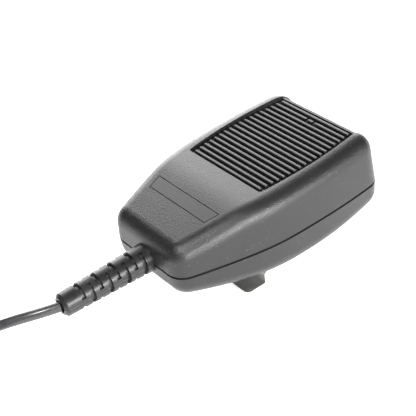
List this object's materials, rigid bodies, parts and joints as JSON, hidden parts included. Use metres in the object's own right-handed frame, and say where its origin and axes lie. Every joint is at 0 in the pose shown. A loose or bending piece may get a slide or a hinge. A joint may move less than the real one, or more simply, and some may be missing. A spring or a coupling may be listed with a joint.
{
  "type": "hand microphone",
  "caption": "Palm-sized hand microphone: tapered two-part case, ribbed grille, side push-to-talk bar, steel hang-up hook and straight cord with screw-on plug.",
  "frame": {"origin": "middle of the hang-up clip's flat resting face", "axes": "+Z out through the grille, +Y from the cord end to the top end, +X the right side"},
  "size_m": [0.0804, 0.2453, 0.0417],
  "materials": {
    "shell_plastic": "fine matt grain",
    "grille_plastic": "satin",
    "button_plastic": "satin",
    "plate": "satin, blank",
    "rubber_black": "satin",
    "cord_jacket": "smooth PVC",
    "spring_steel": "bright rolled",
    "screw_steel": "zinc plated",
    "clamp_steel": "zinc plated",
    "board_laminate": "glass epoxy with solder mask",
    "component_plastic": "moulded",
    "capacitor_can": "drawn can",
    "wire_insulation": "extruded",
    "screen_cloth": "woven acoustic cloth",
    "plug_metal": "satin chromium",
    "contact_brass": "turned"
  },
  "bodies": {
    "case": {"amplifier_chip": "component_plastic", "board_screws": "screw_steel", "capacitors": "capacitor_can", "case_screws": "screw_steel", "case_seal": "rubber_black", "circuit_board": "board_laminate", "clamp_screws": "screw_steel", "clip_nut_plate": "spring_steel", "clip_screws": "screw_steel", "cord_clamp": "clamp_steel", "cord_coil": "cord_jacket", "cord_connector": "component_plastic", "cord_inner": "cord_jacket", "cord_lead": "cord_jacket", "cord_tail": "cord_jacket", "cord_wires": "wire_insulation", "dust_screen": "screen_cloth", "element_boot": "rubber_black", "element_leads": "wire_insulation", "front_shell": "shell_plastic", "grille_insert": "grille_plastic", "hang_clip": "spring_steel", "mic_element": "capacitor_can", "name_plate": "plate", "plug_body": "plug_metal", "plug_gland": "plug_metal", "plug_insert": "component_plastic", "plug_sleeve": "rubber_black", "plug_sockets": "contact_brass", "ptt_pin": "spring_steel", "ptt_spring": "spring_steel", "rear_shell": "shell_plastic", "strain_relief": "rubber_black", "switch_body": "component_plastic"},
    "ptt": {"ptt_button": "button_plastic"},
    "plunger": {"switch_plunger": "button_plastic"},
    "plug_ring": {"plug_nut": "plug_metal"}
  },
  "joints": [
    {"name": "ptt_press", "type": "hinge", "parent": "case", "child": "ptt", "pos_m": [-0.0272, 0.0108, 0.0283], "axis": [0, 0, -1], "range_deg": [0, 3.5], "stiffness_Nm_per_rad": 0.12, "springref_deg": -5.73},
    {"name": "plunger_slide", "type": "slide", "parent": "case", "child": "plunger", "axis": [1, 0, 0], "range_m": [0, 0.0018]},
    {"name": "ring_turn", "type": "hinge", "parent": "case", "child": "plug_ring", "pos_m": [0.0379, -0.1707, 0.009], "axis": [1, 0, 0], "continuous": true}
  ],
  "couplings": [
    {"joint": "plunger_slide", "follows": "ptt_press", "m_per_rad": 0.026}
  ]
}
